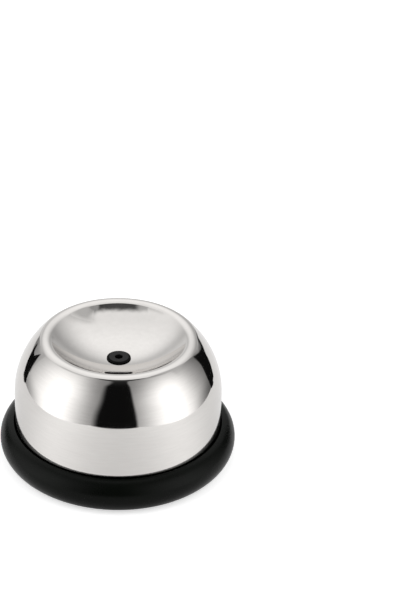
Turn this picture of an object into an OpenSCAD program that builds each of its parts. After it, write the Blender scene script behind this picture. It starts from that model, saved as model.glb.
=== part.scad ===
// Egg piercer: a polished steel dome with an egg dish, sprung on a black base.
// Pressing an egg into the dish sinks the dome over a fixed needle.
// A dial under the base draws the needle down, out of reach, for storage.
// Millimetres, +Z up, origin on the table under the middle of the base.

/* [Steel dome] */
// Outer diameter of the straight skirt
dome_d = 55; // [50:0.5:60]
// Height of the rim's crest above the table
overall_h = 35; // [34:0.5:40]
// Height above the table at which the skirt turns into the dome
skirt_top = 18.5; // [18:0.5:22]
// Diameter of the circle along the rim's crest
rim_d = 38.2; // [35:0.2:41]
// Radius of the rounded rim in section
rim_round = 2.4; // [1.8:0.1:3]
// Depth of the egg dish below the rim's crest
dish_depth = 6.9; // [5.5:0.1:7.5]
// Thickness of the steel sheet
shell_t = 0.9; // [0.6:0.1:1.2]

/* [Needle bush] */
// Diameter of the flange that shows in the dish
flange_d = 6.3; // [6:0.1:8]
// Height of the flange above the dish
flange_h = 0.45; // [0.3:0.05:1]
// Width of the bevel around the flange
flange_bevel = 0.65; // [0.3:0.05:0.9]
// Diameter of the stem that passes through the dish
stem_d = 4.4; // [4:0.1:5]
// Length of the stem that stands out below the clamp nut
stem_end = 0.6; // [0.3:0.1:1]
// Diameter of the hole that the needle comes through
needle_hole_d = 2; // [1.8:0.1:2.4]
// Width of the clamp nut across its flats
nut_w = 7.5; // [7:0.1:8.5]
// Thickness of the clamp nut
nut_t = 2; // [1.5:0.1:2.5]
// Outer diameter of the rubber washer under the dish
gasket_d = 13; // [11:0.5:15]
// Thickness of that washer on the axis
gasket_t = 0.6; // [0.4:0.1:1]

/* [Press stroke] */
// Travel of the dome when an egg is pressed into it
press_travel = 4; // [3:0.25:4.5]
// Room left at the end of the stroke
stop_gap = 0.3; // [0.2:0.05:0.5]

/* [Needle] */
// Diameter of the needle
needle_d = 1.2; // [0.8:0.1:1.4]
// Length of the needle's ground point
point_l = 4; // [2:0.5:6]
// Depth of the point below the bush's face at rest
point_depth = 1.2; // [0.8:0.1:2]
// Diameter of the carriage that holds the needle
carriage_d = 5.6; // [5:0.1:6]
// Diameter of the cross pin
pin_d = 1.6; // [1.2:0.1:1.8]
// Depth of the cross pin below the top of the dial's tube, with the needle raised
pin_down = 3; // [2.6:0.1:3.6]
// Length of the carriage below the cross pin
carriage_tail = 1.8; // [1.4:0.1:3]

/* [Needle lock] */
// Depth of the locked point below the bush's face with the dome pressed right down
lock_margin = 1.7; // [0.8:0.1:2]
// Turn of the dial from raised to locked, in degrees
lock_turn = 90; // [75:5:100]
// Diameter of the dial's disc
dial_d = 17.2; // [16:0.2:18]
// Thickness of the dial's disc
dial_t = 1.6; // [1.3:0.1:1.8]
// Wall of the dial's tube
dial_wall = 1.25; // [1:0.05:1.5]
// Width of the finger bar
bar_w = 3; // [2:0.2:4]
// Depth of the finger bar below the ring that holds the dial in
bar_reach = 0.7; // [0.4:0.1:1]
// Thickness of the ring that holds the dial in
retainer_t = 1.2; // [1:0.1:1.4]
// Width of that ring
retainer_w = 1.7; // [1.2:0.1:2]
// Thickness of the drag ring's rubber
o_ring_t = 0.9; // [0.7:0.1:1]

/* [Inner frame] */
// Wall of the frame inside the skirt
frame_wall = 1.4; // [1:0.1:2]
// Height of that wall's lower edge above the skirt's
frame_rise = 1.5; // [1:0.1:3]
// Thickness of the deck
deck_t = 1.6; // [1.2:0.1:2]
// Distance of the deck's top below the skirt's end
deck_drop = 1.5; // [1:0.1:2]
// Wall of the hub that slides on the post
hub_wall = 1.5; // [1.2:0.1:2]
// Thickness of the hub's top, which the clamp nut holds
hub_top_t = 1.6; // [1.2:0.1:2]
// Wall of the ring under the deck that centres the spring
locator_wall = 1.2; // [1:0.1:1.5]
// Height of that ring
locator_h = 1.5; // [1:0.1:2]
// Number of ribs between the hub and the wall
rib_count = 6; // [3:3:9]
// Thickness of a rib
rib_t = 1.2; // [0.8:0.1:2]
// Height of a rib at the hub
rib_h = 6; // [3:0.5:7]
// Height of a rib at its outer end
rib_tip_h = 1; // [0.5:0.1:2]

/* [Travel screws] */
// Number of screws that hold the dome on its base
screw_count = 3; // [3:1:4]
// Diameter of a screw
screw_d = 3; // [2.5:0.1:3.2]
// Length of thread in the frame's boss
thread_l = 6.5; // [5:0.5:7]
// Diameter of a screw's head
head_d = 5.5; // [5:0.1:5.8]
// Thickness of a screw's head
head_t = 2; // [1.6:0.1:2.2]
// Diameter of the washer under a head
washer_d = 6.2; // [6:0.1:6.4]
// Thickness of the washer
washer_t = 0.5; // [0.4:0.1:0.7]
// Wall of a boss around its screw
boss_wall = 1.7; // [1.2:0.1:2]

/* [Base tray] */
// Thickness of the tray's floor
floor_t = 1.4; // [1.2:0.1:1.8]
// Wall of the tray around the skirt
tray_wall = 1.15; // [1:0.05:1.5]
// Gap between the skirt and the tray
skirt_gap = 0.35; // [0.3:0.05:0.6]
// Bevel round the tray's lower edge
tray_bevel = 1.2; // [0.8:0.1:1.4]
// Wall of the guide post
post_wall = 1.7; // [1.4:0.1:2]
// Wall around the dial's well and thickness of its ceiling
well_wall = 1.4; // [1.2:0.1:1.8]
// Wall of the towers that the screws hang in
tower_wall = 1.2; // [1:0.1:1.5]
// Thickness of a tower's top
tower_top_t = 1.8; // [1.4:0.1:2.2]

/* [Base ring] */
// Thickness of the rubber outside the tray
ring_t = 2.45; // [1.8:0.05:4]
// Height of the ring's crest
ring_h = 9.5; // [9:0.1:11]
// Thickness of the foot under the tray
foot_t = 0.8; // [0.6:0.1:1.2]
// Depth of the flat cut across the round foot
foot_flat = 0.3; // [0.2:0.05:0.5]
// Thickness of the lip over the tray's wall
lip_t = 0.9; // [0.6:0.1:1.5]

/* [Return spring] */
// Wire diameter
wire_d = 0.9; // [0.7:0.05:1]
// Number of turns, with a flat half turn at each end
spring_turns = 5.5; // [4.5:0.5:5.5]

/* [Hidden] */
$fn = 96;
fine = 360;        // sides of the dome's large arcs

// Clearances
seat_gap = 0.05;   // between pieces that are seated on each other
slide_gap = 0.1;   // between pieces that slide or turn on each other
pin_gap = 0.15;    // around the cross pin in its slots
hole_gap = 0.2;    // around a screw or a stem in a clearance hole
spring_gap = 0.3;  // between the spring and what locates it
cut = 1;           // overrun of a cutting shape

// Section of the dome: shoulder arc, round rim and dish arc, each tangent to the next
dome_r = dome_d / 2;
rim_c = [rim_d / 2, overall_h - rim_round];
shoulder_dx = dome_r - rim_c.x;
shoulder_dz = rim_c.y - skirt_top;
shoulder_r = (shoulder_dx ^ 2 + shoulder_dz ^ 2 - rim_round ^ 2) / (2 * (shoulder_dx - rim_round));
shoulder_c = [dome_r - shoulder_r, skirt_top];
dish_z = overall_h - dish_depth;
dish_dz = dish_z - rim_c.y;
dish_r = (rim_c.x ^ 2 + dish_dz ^ 2 - rim_round ^ 2) / (2 * (rim_round - dish_dz));
dish_c = [0, dish_z + dish_r];
function unit(v) = v / norm(v);
// Height at radius r of the dish's sheet, at a depth below its upper face
function dish_at(r, depth) = dish_c.y - sqrt((dish_r + depth) ^ 2 - r ^ 2);

// Base tray and ring, from the table up
tray_z = foot_t;
floor_z = tray_z + floor_t;
tray_in_r = dome_r + skirt_gap;
tray_r = tray_in_r + tray_wall;
skirt_z = floor_z + press_travel + stop_gap;
ring_r = tray_r + seat_gap + ring_t;
ring_round = (ring_h + foot_flat) / 2;
ring_c = [ring_r - ring_round, ring_h - ring_round];
// The lip's underside lies below the crest by the ring's fall to the tray's outer wall
lip_z = ring_c.y + sqrt(ring_round ^ 2 - (tray_r + seat_gap - ring_c.x) ^ 2) - lip_t;

// Dial, in a well in the underside of the tray
bar_z = tray_z + stop_gap;
dial_r = dial_d / 2;
well_r = dial_r + o_ring_t / 2 + slide_gap;
retainer_z = bar_z + bar_reach;
dial_z = retainer_z + retainer_t + slide_gap;
dial_top = dial_z + dial_t;
well_z = dial_top + slide_gap;
well_top = well_z + well_wall;
retainer_in_r = well_r - seat_gap - retainer_w;
bar_l = 2 * (retainer_in_r - stop_gap);
bar_round = bar_w / 2;
bar_h = dial_z + dial_t / 2 - bar_z;

// Needle carriage, the dial's tube around it and the guide post around that
carriage_r = carriage_d / 2;
dial_bore_r = carriage_r + pin_gap;
dial_tube_r = dial_bore_r + dial_wall;
post_bore_r = dial_tube_r + slide_gap;
post_r = post_bore_r + post_wall;
pin_r = pin_d / 2;
pin_l = 2 * (post_r - stop_gap);
slot_r = pin_r + pin_gap;
lock_drop = press_travel - point_depth + lock_margin;

// Hub, clamp nut and bush, from the dish down
hub_top = dish_z - shell_t - gasket_t;
nut_z = hub_top - hub_top_t - seat_gap - nut_t;
stem_z = nut_z - stem_end;
stem_r = stem_d / 2;
flange_r = flange_d / 2;
flange_z = dish_at(flange_r, 0) + seat_gap;
flange_top = dish_at(flange_r, 0) + flange_h;
post_top = stem_z - press_travel - stop_gap;
carriage_top = post_top;
dial_tube_top = post_top - stop_gap;
pin_z = dial_tube_top - pin_down;
hub_bore_r = post_r + slide_gap;
hub_r = hub_bore_r + hub_wall;
hub_z = well_top + press_travel + stop_gap;
needle_tip = flange_top - point_depth;
needle_foot = pin_z + pin_r + stop_gap;

// Deck inside the dome and the spring under it, around the well
frame_r = dome_r - shell_t - seat_gap;
deck_top = skirt_top - deck_drop;
deck_z = deck_top - deck_t;
wire_r = wire_d / 2;
spring_r = well_r + well_wall + spring_gap + wire_r;

// Bosses, towers and travel screws, midway between the spring and the frame's wall
screw_at = (spring_r + wire_r + frame_r - frame_wall) / 2;
screw_r = screw_d / 2;
head_r = head_d / 2;
washer_r = washer_d / 2;
cup_r = washer_r + hole_gap;
tower_r = cup_r + tower_wall;
head_z = tray_z + press_travel + stop_gap;
washer_z = head_z + head_t + seat_gap;
cup_top = washer_z + washer_t + seat_gap;
tower_top = cup_top + tower_top_t;
boss_r = screw_r + seat_gap + boss_wall;
boss_z = tower_top + press_travel + stop_gap;
boss_top = boss_z + thread_l + stop_gap;
screw_turn = 360 / screw_count;

// Path of the spring's wire
spring_low = floor_z + wire_r + seat_gap;
spring_high = deck_z - wire_r - seat_gap;
spring_rings = 16;   // rings in a turn
spring_sides = 6;
flat_turn = 0.5;     // turns lying flat at each end
spring_steps = spring_turns * spring_rings;
spring_path = [for (i = [0 : spring_steps]) spring_point(i / spring_rings)];
function spring_rise(turn) =
    max(0, min(1, (turn - flat_turn) / (spring_turns - 2 * flat_turn)));
function spring_point(turn) = [
    spring_r * cos(360 * turn),
    spring_r * sin(360 * turn),
    spring_low + (spring_high - spring_low) * spring_rise(turn)
];
spring_least_gap = min([
    for (i = [0 : spring_steps - spring_rings / 2], j = [i + spring_rings / 2 : spring_steps])
        norm(spring_path[i] - spring_path[j])
]) - wire_d;
echo(str("Least gap between turns of the spring: ", spring_least_gap, " mm"));

// Ring around the axis, between two radii, standing on height z
module tube(r_out, r_in, z, h) {
    translate([0, 0, z]) difference() {
        cylinder(r = r_out, h = h);
        translate([0, 0, -cut]) cylinder(r = r_in, h = h + 2 * cut);
    }
}

// Places its children at each travel screw
module at_screws() {
    for (i = [0 : screw_count - 1])
        rotate([0, 0, (i + 0.5) * screw_turn]) translate([screw_at, 0, 0]) children();
}

// Half section of the dome, drawn in by inset, filled down to height low
module dome_section(inset, low) {
    to_shoulder = unit(rim_c - shoulder_c);
    to_dish = unit(dish_c - rim_c);
    difference() {
        union() {
            translate([0, low]) square([dome_r - inset, skirt_top - low]);
            translate([0, skirt_top]) square([rim_c.x, rim_c.y - skirt_top]);
            intersection() {
                translate(shoulder_c) circle(r = shoulder_r - inset, $fn = fine);
                translate([0, skirt_top]) square([dome_r, overall_h - skirt_top]);
            }
        }
        translate(dish_c) circle(r = dish_r + inset, $fn = fine);
        translate(rim_c) polygon([
            [0, 0], shoulder_r * to_shoulder,
            shoulder_r * (to_shoulder + to_dish), shoulder_r * to_dish
        ]);
    }
    translate(rim_c) circle(r = rim_round - inset);
}

module dome_shell() {
    color("gainsboro") difference() {
        rotate_extrude() difference() {
            dome_section(0, skirt_z);
            dome_section(shell_t, skirt_z - cut);
        }
        translate([0, 0, hub_top]) cylinder(r = stem_r + hole_gap, h = dish_depth);
    }
}

module needle_bush() {
    color("black") rotate_extrude() polygon([
        [needle_hole_d / 2, stem_z], [stem_r, stem_z], [stem_r, flange_z], [flange_r, flange_z],
        [flange_r - flange_bevel, flange_top], [needle_hole_d / 2, flange_top]
    ]);
}

module dish_gasket() {
    hole_r = stem_r + hole_gap;
    color("dimgray") rotate_extrude() difference() {
        translate([hole_r, hub_top + seat_gap]) square([gasket_d / 2 - hole_r, dish_depth]);
        translate(dish_c) circle(r = dish_r + shell_t + seat_gap, $fn = fine);
    }
}

module bush_nut() {
    corner_r = nut_w / 2 / cos(30);
    color("goldenrod") translate([0, 0, nut_z]) difference() {
        cylinder(r = corner_r, h = nut_t, $fn = 6);
        translate([0, 0, -cut]) cylinder(r = stem_r + seat_gap, h = nut_t + 2 * cut);
    }
}

// Half section of the frame: wall, deck, hub with its top, and the ring that centres the spring
module frame_section() {
    wall_z = skirt_z + frame_rise;
    stem_hole_r = stem_r + hole_gap;
    locator_r = spring_r - wire_r - spring_gap;
    translate([frame_r - frame_wall, wall_z]) square([frame_wall, deck_top - wall_z]);
    translate([hub_bore_r, deck_z]) square([frame_r - hub_bore_r, deck_t]);
    translate([hub_bore_r, hub_z]) square([hub_wall, hub_top - hub_z]);
    translate([stem_hole_r, hub_top - hub_top_t]) square([hub_r - stem_hole_r, hub_top_t]);
    translate([locator_r - locator_wall, deck_z - locator_h]) square([locator_wall, locator_h + deck_t]);
}

// Upright rib on the deck, falling from the hub outwards
module frame_rib() {
    rib_in = hub_bore_r + hub_wall / 2;
    rib_foot = deck_top - deck_t / 2;
    rotate([90, 0, 0]) translate([0, 0, -rib_t / 2]) linear_extrude(rib_t) polygon([
        [rib_in, rib_foot], [screw_at, rib_foot], [screw_at, deck_top + rib_tip_h], [rib_in, deck_top + rib_h]
    ]);
}

module inner_frame() {
    rib_turn = 360 / rib_count;
    color("dimgray") difference() {
        union() {
            rotate_extrude() frame_section();
            for (i = [0 : rib_count - 1]) rotate([0, 0, (i + 0.5) * rib_turn]) frame_rib();
            at_screws() translate([0, 0, boss_z]) cylinder(r = boss_r, h = boss_top - boss_z);
        }
        at_screws() translate([0, 0, boss_z - cut])
            cylinder(r = screw_r + seat_gap, h = boss_top - boss_z + 2 * cut);
    }
}

// Pan-head screw with a cross recess, head down
module travel_screw() {
    recess_w = head_t / 3;
    recess_l = head_d / 2;
    shank_z = head_z + head_t / 2;
    difference() {
        union() {
            translate([0, 0, head_z]) cylinder(r = head_r, h = head_t);
            translate([0, 0, shank_z]) cylinder(r = screw_r, h = boss_z + thread_l - shank_z);
        }
        for (turn = [0, 90]) rotate([0, 0, turn]) translate([-recess_l / 2, -recess_w / 2, head_z - cut])
            cube([recess_l, recess_w, head_t / 2 + cut]);
    }
}

module travel_screws() {
    color("silver") at_screws() travel_screw();
}

module travel_washers() {
    color("silver") at_screws() tube(washer_r, screw_r + seat_gap, washer_z, washer_t);
}

// Round wire along the spring's path, as rings of points joined by triangles
module return_spring() {
    sides = spring_sides;
    points = [
        for (i = [0 : spring_steps], k = [0 : sides - 1])
            let (turn = 360 * i / spring_rings, side = 360 * k / sides, out = wire_r * cos(side))
            spring_path[i] + [out * cos(turn), out * sin(turn), wire_r * sin(side)]
    ];
    last = spring_steps * sides;
    faces = [
        for (i = [0 : spring_steps - 1], k = [0 : sides - 1])
            let (a = i * sides + k, b = i * sides + (k + 1) % sides)
            each [[a, b, a + sides], [b, b + sides, a + sides]],
        for (k = [1 : sides - 2]) each [[0, k + 1, k], [last, last + k, last + k + 1]]
    ];
    color("lightgray") polyhedron(points, faces);
}

// Upright slot for the cross pin, through the guide post
module post_slot() {
    low = pin_z - lock_drop;
    for (z = [low, pin_z]) translate([0, 0, z]) rotate([0, 90, 0])
        cylinder(r = slot_r, h = 2 * (post_r + cut), center = true);
    translate([-post_r - cut, -slot_r, low]) cube([2 * (post_r + cut), 2 * slot_r, lock_drop]);
}

// Half section of the tray: floor, outer wall, well and guide post
module tray_section() {
    difference() {
        union() {
            polygon([
                [0, tray_z], [tray_r - tray_bevel, tray_z], [tray_r, tray_z + tray_bevel],
                [tray_r, lip_z - seat_gap], [tray_in_r, lip_z - seat_gap], [tray_in_r, floor_z], [0, floor_z]
            ]);
            translate([0, tray_z]) square([well_r + well_wall, well_top - tray_z]);
            translate([0, tray_z]) square([post_r, post_top - tray_z]);
        }
        translate([0, tray_z - cut]) square([well_r, well_z - tray_z + cut]);
        translate([0, tray_z - cut]) square([post_bore_r, post_top - tray_z + 2 * cut]);
    }
}

module base_tray() {
    color("black") difference() {
        union() {
            rotate_extrude() tray_section();
            at_screws() translate([0, 0, tray_z]) cylinder(r = tower_r, h = tower_top - tray_z);
        }
        post_slot();
        at_screws() translate([0, 0, tray_z - cut]) cylinder(r = cup_r, h = cup_top - tray_z + cut);
        at_screws() cylinder(r = screw_r + hole_gap, h = tower_top + cut);
    }
}

module base_ring() {
    room_r = tray_r + seat_gap;
    color("black") rotate_extrude() difference() {
        intersection() {
            translate(ring_c) circle(r = ring_round);
            square([ring_r, ring_h]);
        }
        polygon([
            [0, tray_z], [room_r - tray_bevel, tray_z], [room_r, tray_z + tray_bevel],
            [room_r, lip_z], [tray_in_r, lip_z], [tray_in_r, ring_h], [0, ring_h]
        ]);
    }
}

// Slot through the dial's tube: the path that the cross pin takes as the dial turns.
// It slants between the pin's two stops and runs level past each of them.
module dial_slot() {
    slope = lock_drop / (dial_bore_r * lock_turn * PI / 180);
    slant_h = slot_r * sqrt(1 + slope ^ 2);
    over = asin(slot_r / dial_bore_r);
    steps = 12;
    // Turn, height and half height of each section along the path
    sections = [
        [over, pin_z, slot_r],
        for (i = [0 : steps]) [-lock_turn * i / steps, pin_z - lock_drop * i / steps, slant_h],
        [-lock_turn - over, pin_z - lock_drop, slot_r]
    ];
    radii = [dial_bore_r / 2, dial_tube_r + cut];
    corners = [[0, -1], [1, -1], [1, 1], [0, 1]];
    points = [
        for (s = sections, c = corners)
            [radii[c[0]] * cos(s[0]), radii[c[0]] * sin(s[0]), s[1] + s[2] * c[1]]
    ];
    last = 4 * (len(sections) - 1);
    faces = [
        for (i = [0 : len(sections) - 2], k = [0 : 3])
            let (a = 4 * i + k, b = 4 * i + (k + 1) % 4)
            each [[a, a + 4, b], [b, a + 4, b + 4]],
        [0, 1, 2], [0, 2, 3], [last, last + 2, last + 1], [last, last + 3, last + 2]
    ];
    polyhedron(points, faces);
}

module lock_dial() {
    color("dimgray") {
        difference() {
            union() {
                translate([0, 0, dial_z]) cylinder(r = dial_r, h = dial_t);
                translate([0, 0, dial_z]) cylinder(r = dial_tube_r, h = dial_tube_top - dial_z);
            }
            translate([0, 0, dial_top]) cylinder(r = dial_bore_r, h = dial_tube_top);
            for (side = [0, 180]) rotate([0, 0, side]) dial_slot();
            translate([0, 0, dial_z + dial_t / 2]) rotate_extrude()
                translate([dial_r, 0]) circle(r = o_ring_t / 2 + seat_gap);
        }
        translate([-bar_l / 2 + bar_round, -bar_w / 2, bar_z])
            cube([bar_l - 2 * bar_round, bar_w, bar_h]);
        for (side = [-1, 1]) translate([side * (bar_l / 2 - bar_round), 0, bar_z])
            cylinder(r = bar_round, h = bar_h);
    }
}

module dial_retainer() {
    color("black") tube(well_r - seat_gap, retainer_in_r, retainer_z, retainer_t);
}

module dial_o_ring() {
    color("darkslategray") translate([0, 0, dial_z + dial_t / 2]) rotate_extrude()
        translate([dial_r, 0]) circle(r = o_ring_t / 2);
}

module needle_carriage() {
    color("ivory") difference() {
        translate([0, 0, pin_z - carriage_tail])
            cylinder(r = carriage_r, h = carriage_top - pin_z + carriage_tail);
        translate([0, 0, pin_z]) rotate([0, 90, 0])
            cylinder(r = pin_r + seat_gap, h = carriage_d + 2 * cut, center = true);
        translate([0, 0, needle_foot]) cylinder(r = needle_d / 2 + seat_gap, h = carriage_top);
    }
}

module cross_pin() {
    color("silver") translate([0, 0, pin_z]) rotate([0, 90, 0]) cylinder(r = pin_r, h = pin_l, center = true);
}

module needle() {
    foot = needle_foot + seat_gap;
    color("silver") rotate_extrude() polygon([
        [0, foot], [needle_d / 2, foot], [needle_d / 2, needle_tip - point_l], [0, needle_tip]
    ]);
}

dome_shell();
needle_bush();
dish_gasket();
bush_nut();
inner_frame();
travel_screws();
travel_washers();
return_spring();
base_tray();
base_ring();
lock_dial();
dial_retainer();
dial_o_ring();
needle_carriage();
cross_pin();
needle();
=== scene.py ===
# %% [markdown]
# An egg piercer: a polished steel dome with a dish on top, sprung on a black base with a rubber
# edge. The solids of all its pieces are already built to size. This lesson loads them, models
# most of them again with soft edges, gives every piece its finish, and sets up a small studio
# around them. Everything is in metres, in the frame of the solids: +Z up, the table at 0.

# %% Load the solids
import math
import bpy
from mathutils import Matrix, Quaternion, Vector


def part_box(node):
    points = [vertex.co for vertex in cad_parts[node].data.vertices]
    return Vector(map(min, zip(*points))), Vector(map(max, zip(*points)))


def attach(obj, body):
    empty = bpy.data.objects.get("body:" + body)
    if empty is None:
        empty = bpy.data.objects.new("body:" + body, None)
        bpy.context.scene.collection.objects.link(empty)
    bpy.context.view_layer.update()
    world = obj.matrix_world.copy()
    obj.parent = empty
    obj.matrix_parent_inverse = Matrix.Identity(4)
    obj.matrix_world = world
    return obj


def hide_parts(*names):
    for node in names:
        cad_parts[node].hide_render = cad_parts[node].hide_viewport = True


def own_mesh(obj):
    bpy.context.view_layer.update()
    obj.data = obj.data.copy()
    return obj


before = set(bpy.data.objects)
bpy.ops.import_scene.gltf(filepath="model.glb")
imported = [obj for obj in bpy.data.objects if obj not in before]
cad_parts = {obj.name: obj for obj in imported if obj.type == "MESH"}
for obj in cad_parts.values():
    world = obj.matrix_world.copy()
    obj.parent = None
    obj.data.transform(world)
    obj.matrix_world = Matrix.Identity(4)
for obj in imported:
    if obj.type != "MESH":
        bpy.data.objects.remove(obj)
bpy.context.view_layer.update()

MM = 0.001

# %% [markdown]
# The camera comes first, because every later choice is judged through it. The photograph looks
# down on the piercer from the front, with a slight roll. Its aim is set in three moves: upright
# at a point on the axis, rolled about that sight line, then turned until the point lies where
# the photograph has it. A lens shift would do the same, but it would stay on in every other view.

# %% Camera
photo_w, photo_h = 401, 601                 # the photograph's frame, in pixels
aim = Vector((0, 0, 15 * MM))
aim_px = (118.35, 400.0)                    # where that point lies in the photograph
camera_far = 500 * MM
camera_above = math.radians(33.6)
camera_roll = math.radians(0.57)            # the photograph's axis leans a little to the right
focal_px = 1870
sensor = 36.0                               # millimetres, along the frame's long side

bpy.ops.object.select_all(action="DESELECT")
back = Vector((0, -math.cos(camera_above), math.sin(camera_above)))
bpy.ops.object.camera_add(location=aim + camera_far * back)
camera = bpy.context.object
camera.data.sensor_width = sensor
camera.data.lens = focal_px * sensor / photo_h
camera.data.clip_start = 10 * MM
to_aim = Vector((aim_px[0] - photo_w / 2, photo_h / 2 - aim_px[1], -focal_px))
camera.rotation_mode = "QUATERNION"
upright_turn = (-back).to_track_quat("-Z", "Y") @ Quaternion((0, 0, 1), camera_roll)
camera.rotation_quaternion = upright_turn @ to_aim.rotation_difference(Vector((0, 0, -1)))
bpy.context.scene.camera = camera
bpy.context.scene.view_settings.view_transform = "Standard"
print("camera at", tuple(camera.location), "with a lens of", round(camera.data.lens, 1), "mm")

# %% [markdown]
# Finishes are node trees, and writing them link by link hides the idea. Two small classes let a
# finish read like a formula: Wire wraps a socket, so that 1 - mask adds a Math node, and Finish
# adds every other node with one method: its type, its settings, and what goes into its sockets.

# %% Wires and finishes
class Wire:
    """A socket whose value can stand in a sum with numbers and other wires."""

    def __init__(self, finish, socket):
        self.finish = finish
        self.socket = socket

    def __add__(self, other):
        return self.finish.math("ADD", self, other)

    def __sub__(self, other):
        return self.finish.math("SUBTRACT", self, other)

    def __rsub__(self, other):
        return self.finish.math("SUBTRACT", other, self)

    def __mul__(self, other):
        return self.finish.math("MULTIPLY", self, other)

    def __truediv__(self, other):
        return self.finish.math("DIVIDE", self, other)

    def __pow__(self, other):
        return self.finish.math("POWER", self, other)

    __radd__ = __add__
    __rmul__ = __mul__


class Finish:
    """The node tree of one material or of the world."""

    def __init__(self, owner):
        owner.use_nodes = True
        self.owner = owner
        self.tree = owner.node_tree
        self.tree.nodes.clear()

    def node(self, kind, settings=None, sockets=None, out=0):
        """Adds a node, sets its settings, then fills its sockets with values or wires."""
        made = self.tree.nodes.new("ShaderNode" + kind)
        for name, value in (settings or {}).items():
            setattr(made, name, value)
        for name, value in (sockets or {}).items():
            if isinstance(value, Wire):
                self.tree.links.new(value.socket, made.inputs[name])
            else:
                made.inputs[name].default_value = value
        return Wire(self, made.outputs[out]) if len(made.outputs) else None

    def math(self, operation, first, second=0.0):
        return self.node("Math", {"operation": operation}, {0: first, 1: second})

    def place(self):
        return self.node("TexCoord", out="Object")

    def parts(self, vector):
        """The X, Y and Z of a vector, as three wires."""
        split = self.node("SeparateXYZ", sockets={0: vector})
        return [Wire(self, socket) for socket in split.socket.node.outputs]

    def noise(self, vector, scale, detail=2.0):
        return self.node("TexNoise", sockets={"Vector": vector, "Scale": scale, "Detail": detail})

    def between(self, value, low, high, to_low=0.0, to_high=1.0):
        """Carries a value over from one span to another with soft ends."""
        return self.node(
            "MapRange", {"interpolation_type": "SMOOTHSTEP"},
            {"Value": value, "From Min": low, "From Max": high, "To Min": to_low, "To Max": to_high})

    def mix(self, factor, first, second):
        """Blends two colours."""
        return self.node("Mix", {"data_type": "RGBA"}, {0: factor, 6: first, 7: second}, out=2)

    def bump(self, height, depth, strength=1.0):
        return self.node("Bump", sockets={"Height": height, "Distance": depth, "Strength": strength})

    def surface(self, **sockets):
        """The material's own shader, named socket by socket, and its output."""
        named = {name.replace("_", " "): value for name, value in sockets.items()}
        self.shine(self.node("BsdfPrincipled", sockets=named))
        return self.owner

    def shine(self, shader):
        """Sends a shader to the output."""
        kind = "OutputWorld" if isinstance(self.owner, bpy.types.World) else "OutputMaterial"
        self.node(kind, sockets={"Surface": shader})


def new_finish(name):
    return Finish(bpy.data.materials.new(name + "_finish"))


def grey(level):
    return (level, level, level, 1.0)


print("finish helpers ready")

# %% [markdown]
# The studio is a small light tent. Mirror steel has no look of its own: it shows what stands
# around it. So the tent has two glowing side panels, a bright roof that comes down behind, a
# dark gap at the front where the camera stands, and two dark flags at the back corners, which
# draw the dome's outline. The tent is seen only in reflections. The light on the dull pieces
# comes from the world and from two large lamps, at a plain level.

# %% World
ambient = 0.55                              # share of the plain light that comes from all round
world = bpy.data.worlds.new("studio")
bpy.context.scene.world = world
sky = Finish(world)


def rays(finish, *kinds):
    """1 for rays of the given kinds, 0 for others."""
    sockets = finish.node("LightPath").socket.node.outputs
    found = sum(Wire(finish, sockets[f"Is {kind} Ray"]) for kind in kinds)
    return finish.node("Clamp", sockets={"Value": found})


def seen(finish):
    """1 for the rays that show a surface to the camera, straight or in a mirror or glass."""
    return rays(finish, "Camera", "Glossy", "Transmission")


sky.shine(sky.node("Background", sockets={"Color": ambient + (1 - ambient) * seen(sky)}))
print("world: white where seen, light of", ambient)

# %% [markdown]
# Tent and floor are painted by direction: a formula in azimuth, counted from the front and
# positive to the right, and elevation, both as the dome sees them. Painting by direction keeps
# the soft edges where the reflections need them, whatever the shape of the card behind them.

# %% Directions
eye_z = 20 * MM                             # height on the dome that the angles are taken from


class Look:
    """The direction from the dome to each point of a surface: angles in degrees, unit vector."""

    def __init__(self, finish):
        x, y, z = finish.parts(finish.place())
        rise = z - eye_z
        flat = (x * x + y * y) ** 0.5
        far = (flat * flat + rise * rise) ** 0.5
        self.azimuth = finish.math("ARCTAN2", x, 0 - y) * math.degrees(1)
        self.elevation = finish.math("ARCTAN2", rise, flat) * math.degrees(1)
        self.side = finish.math("ABSOLUTE", self.azimuth)
        self.right, self.back, self.up = x / far, y / far, rise / far


def hill(finish, value, middle, before, after=None):
    """A soft hump of height 1 around a middle, with a width before it and one after it."""
    off = value - middle
    rising = finish.math("MINIMUM", off, 0.0) / before
    falling = finish.math("MAXIMUM", off, 0.0) / (after or before)
    return finish.math("EXPONENT", 0 - rising * rising - falling * falling)


print("directions ready")

# %% [markdown]
# The floor is a sheet of pale paper. The picture shows it white, so it glows a little where the
# camera sees it, and still takes the shadow of the ring. In the steel it is pale grey instead,
# with the light that the panels and the roof throw on it.

# %% Floor
floor_size = 4.0
floor_white, fleck_by = 0.88, 0.01          # the paper's tone, and how far its flecks stray from it
fleck_scale = 900.0                         # flecks of about a millimetre
floor_lift = 0.58                           # keeps the lit floor white in the picture
mirror_lift = 0.20                          # the same in the steel
panel_spill = 0.33                          # light that the side panels throw on the floor
spill_at, spill_width = 55, 29              # its azimuth on either side
back_spill, back_span = 0.075, (80, 125)    # light from the roof behind, and where it sets in
bpy.ops.object.select_all(action="DESELECT")
bpy.ops.mesh.primitive_plane_add(size=floor_size)
floor = bpy.context.object
floor.name = "floor"

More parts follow.
